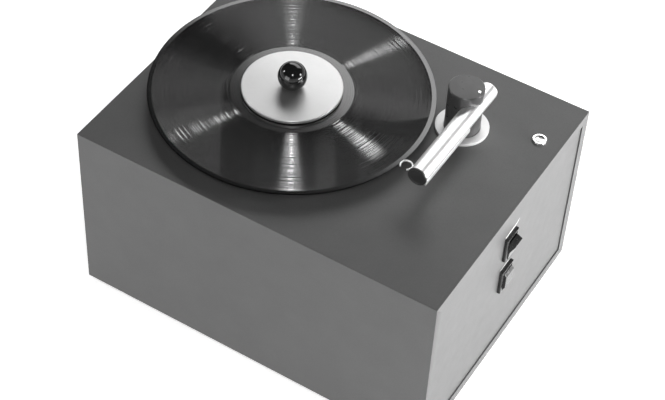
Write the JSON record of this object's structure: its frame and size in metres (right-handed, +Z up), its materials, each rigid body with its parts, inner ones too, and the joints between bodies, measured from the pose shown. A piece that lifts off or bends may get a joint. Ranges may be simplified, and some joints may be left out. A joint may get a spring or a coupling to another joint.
{
  "type": "record cleaning machine",
  "caption": "Box-shaped record cleaning machine with a belt-driven platter, a screw-down record clamp, a swinging suction arm, rocker switches and an inner waste tank.",
  "frame": {"origin": "centre of the cabinet's underside, with the rubber feet reaching 6 mm below it", "axes": "+X to the right along the front, +Y to the back, +Z up"},
  "size_m": [0.4323, 0.369, 0.2845],
  "materials": {
    "laminate": "dark grey satin laminate",
    "inner_wood": "raw softwood",
    "rubber": "matt",
    "steel": "plain",
    "platter_black": "satin black",
    "mat": "matt",
    "vinyl": "grooved vinyl",
    "bright_steel": "turned",
    "alloy": "satin",
    "bronze": "sintered",
    "clamp_silver": "satin anodised",
    "ball_black": "polished",
    "arm_black": "satin black",
    "tube_polish": "polished",
    "cap_black": "matt",
    "velvet": "short pile",
    "tank_plastic": "natural",
    "motor_grey": "satin",
    "black_plastic": "moulded",
    "switch_black": "moulded",
    "lever_red": "moulded",
    "circuit_green": "lacquered",
    "button_metal": "polished"
  },
  "bodies": {
    "cabinet": {"front_board": "laminate", "top_board": "laminate", "rear_board": "laminate", "bottom_board": "laminate", "left_panel": "laminate", "right_panel": "laminate", "corner_posts": "inner_wood", "feet": "rubber", "foot_screws": "steel", "bearing_housing": "alloy", "bearing_bushes": "bronze", "drive_belt": "rubber", "drive_motor": "motor_grey", "motor_bracket": "alloy", "motor_screws": "steel", "arm_base_ring": "clamp_silver", "arm_sleeve": "alloy", "waste_tank": "tank_plastic", "tank_lid": "tank_plastic", "pipe_seal": "rubber", "blower_mount": "rubber", "blower_motor": "motor_grey", "fan_housing": "black_plastic", "suction_hose": "rubber", "exhaust_grille": "black_plastic", "drain_fitting": "black_plastic", "mains_inlet": "black_plastic", "supply_board": "circuit_green", "vacuum_switch": "switch_black", "direction_switch": "switch_black", "button_bezel": "button_metal"},
    "turntable": {"platter": "platter_black", "platter_mat": "mat", "record": "vinyl", "spindle": "bright_steel", "driven_pulley": "alloy", "spindle_circlip": "steel"},
    "motor_rotor": {"motor_pulley": "alloy", "motor_shaft": "bright_steel"},
    "clamp_plate": {"clamp_disc": "clamp_silver", "clamp_gasket": "rubber"},
    "clamp_ball": {"clamp_knob": "ball_black"},
    "arm_carrier": {"swing_bush": "tank_plastic", "lift_spring": "steel"},
    "arm": {"arm_column": "arm_black", "column_screw": "steel", "suction_pipe": "alloy", "stop_collar": "alloy", "suction_tube": "tube_polish", "tube_end_cap": "cap_black", "tube_rear_cap": "tube_polish", "nozzle_bar": "tube_polish", "velvet_strips": "velvet", "finger_loop": "tube_polish"},
    "blower_rotor": {"impeller": "black_plastic", "blower_shaft": "bright_steel"},
    "vacuum_key": {"vacuum_rocker": "switch_black"},
    "direction_key": {"direction_rocker": "switch_black"},
    "button": {"button_cap": "button_metal"},
    "tap": {"drain_lever": "lever_red"}
  },
  "joints": [
    {"name": "platter_spin", "type": "hinge", "parent": "cabinet", "child": "turntable", "pos_m": [-0.058, 0.004, 0.22], "axis": [0, 0, -1], "continuous": true},
    {"name": "motor_spin", "type": "hinge", "parent": "cabinet", "child": "motor_rotor", "pos_m": [-0.153, 0.004, 0.143], "axis": [0, 0, -1], "continuous": true},
    {"name": "clamp_rise", "type": "slide", "parent": "turntable", "child": "clamp_plate", "axis": [0, 0, 1], "range_m": [0, 0.012]},
    {"name": "clamp_turn", "type": "hinge", "parent": "clamp_plate", "child": "clamp_ball", "pos_m": [-0.058, 0.004, 0.2526], "axis": [0, 0, 1], "range_deg": [0, 4320]},
    {"name": "arm_swing", "type": "hinge", "parent": "cabinet", "child": "arm_carrier", "pos_m": [0.111, 0.067, 0.22], "axis": [0, 0, -1], "range_deg": [0, 74]},
    {"name": "arm_lift", "type": "slide", "parent": "arm_carrier", "child": "arm", "axis": [0, 0, -1], "range_m": [0, 0.007], "stiffness_N_per_m": 400, "springref_m": -0.025, "deforming": ["lift_spring"]},
    {"name": "vacuum_toggle", "type": "hinge", "parent": "cabinet", "child": "vacuum_key", "pos_m": [0.207, -0.0025, 0.165], "axis": [0, 1, 0], "range_deg": [-32, 0]},
    {"name": "direction_toggle", "type": "hinge", "parent": "cabinet", "child": "direction_key", "pos_m": [0.207, -0.0025, 0.1155], "axis": [0, 1, 0], "range_deg": [-12, 12]},
    {"name": "button_press", "type": "slide", "parent": "cabinet", "child": "button", "axis": [0, 0, -1], "range_m": [0, 0.0015], "stiffness_N_per_m": 500, "springref_m": -0.003},
    {"name": "blower_spin", "type": "hinge", "parent": "cabinet", "child": "blower_rotor", "pos_m": [-0.02, 0.092, 0.08], "axis": [0, 0, 1], "continuous": true},
    {"name": "tap_turn", "type": "hinge", "parent": "cabinet", "child": "tap", "pos_m": [0.116, 0.176, 0.038], "axis": [0, 0, 1], "range_deg": [0, 90]}
  ],
  "couplings": [
    {"joint": "motor_spin", "follows": "platter_spin", "ratio": 4.6667},
    {"joint": "clamp_turn", "follows": "clamp_rise", "rad_per_m": 6283.2}
  ]
}
